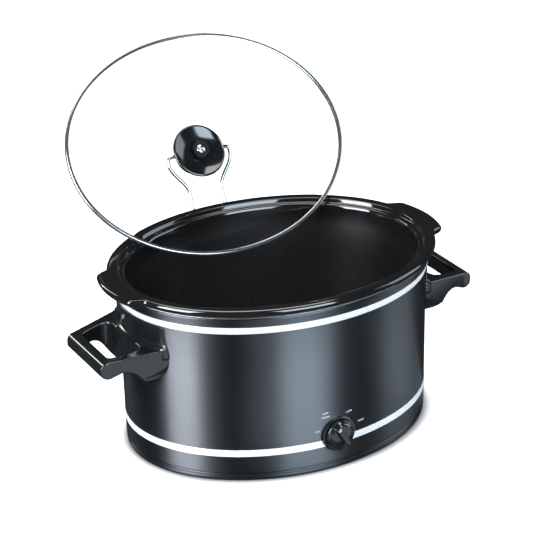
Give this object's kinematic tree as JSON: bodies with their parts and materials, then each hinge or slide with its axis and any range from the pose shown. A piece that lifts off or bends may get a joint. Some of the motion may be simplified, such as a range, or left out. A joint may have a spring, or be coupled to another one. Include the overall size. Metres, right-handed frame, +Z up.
{
  "type": "oval slow cooker",
  "caption": "Oval slow cooker: painted steel housing with a dial and side handles, a stoneware crock, and a glass lid propped open on its wire lid rest.",
  "frame": {"origin": "middle of the base ring's foot, on the surface that the cooker stands on", "axes": "+X along the long axis towards the right handle, -Y towards the front with the dial, +Z up"},
  "size_m": [0.47, 0.3959, 0.3918],
  "materials": {
    "wrap_paint": "glossy dark gunmetal paint",
    "stripe": "satin silver white",
    "black_plastic": "glossy moulded",
    "base_plastic": "satin moulded",
    "plated_steel": "satin",
    "aluminised_steel": "dull",
    "mica": "fibre wrapped",
    "ceramic_block": "unglazed",
    "lead_black": "silicone sleeve",
    "lead_white": "silicone sleeve",
    "lead_red": "silicone sleeve",
    "crock_glaze": "glossy black glaze",
    "lid_glass": "clear tempered",
    "chrome": "bright",
    "silicone": "matt",
    "brass_tab": "bright"
  },
  "bodies": {
    "housing": {"housing_wrap": "wrap_paint", "upper_stripe": "stripe", "lower_stripe": "stripe", "base_ring": "base_plastic", "base_plate": "plated_steel", "tie_bolt": "plated_steel", "tie_nut": "plated_steel", "heating_liner": "aluminised_steel", "heater_band": "mica", "heater_strap": "plated_steel", "strap_screw": "plated_steel", "heater_terminals": "ceramic_block", "thermal_fuse": "ceramic_block", "fuse_clip": "plated_steel", "terminal_block": "ceramic_block", "live_lead": "lead_black", "neutral_lead": "lead_white", "switch_lead": "lead_red", "cord_gland": "base_plastic", "left_handle": "black_plastic", "right_handle": "black_plastic", "handle_plates": "plated_steel", "handle_screws": "plated_steel", "switch_body": "ceramic_block", "switch_terminals": "brass_tab", "switch_nut": "plated_steel", "dial_bezel": "black_plastic"},
    "crock_body": {"crock": "crock_glaze"},
    "lid": {"lid_glass": "lid_glass", "lid_rim": "chrome", "lid_knob": "black_plastic", "knob_seal": "silicone", "knob_washer": "silicone", "knob_screw": "plated_steel"},
    "rest_wire": {"lid_rest": "chrome"},
    "dial": {"control_knob": "black_plastic", "switch_shaft": "plated_steel", "knob_spring": "plated_steel"}
  },
  "joints": [
    {"name": "crock_lift", "type": "slide", "parent": "housing", "child": "crock_body", "axis": [0, 0, 1], "range_m": [0, 0.18]},
    {"name": "lid_lift", "type": "slide", "parent": "crock_body", "child": "lid", "axis": [0, 0.3795, 0.9252], "range_m": [0, 0.2]},
    {"name": "rest_fold", "type": "hinge", "parent": "lid", "child": "rest_wire", "pos_m": [0, 0.17952, 0.2655], "axis": [1, 0, 0], "range_deg": [0, 150]},
    {"name": "dial_turn", "type": "hinge", "parent": "housing", "child": "dial", "pos_m": [0, -0.1405, 0.0434], "axis": [0, 1, 0], "range_deg": [-43, 104]}
  ]
}
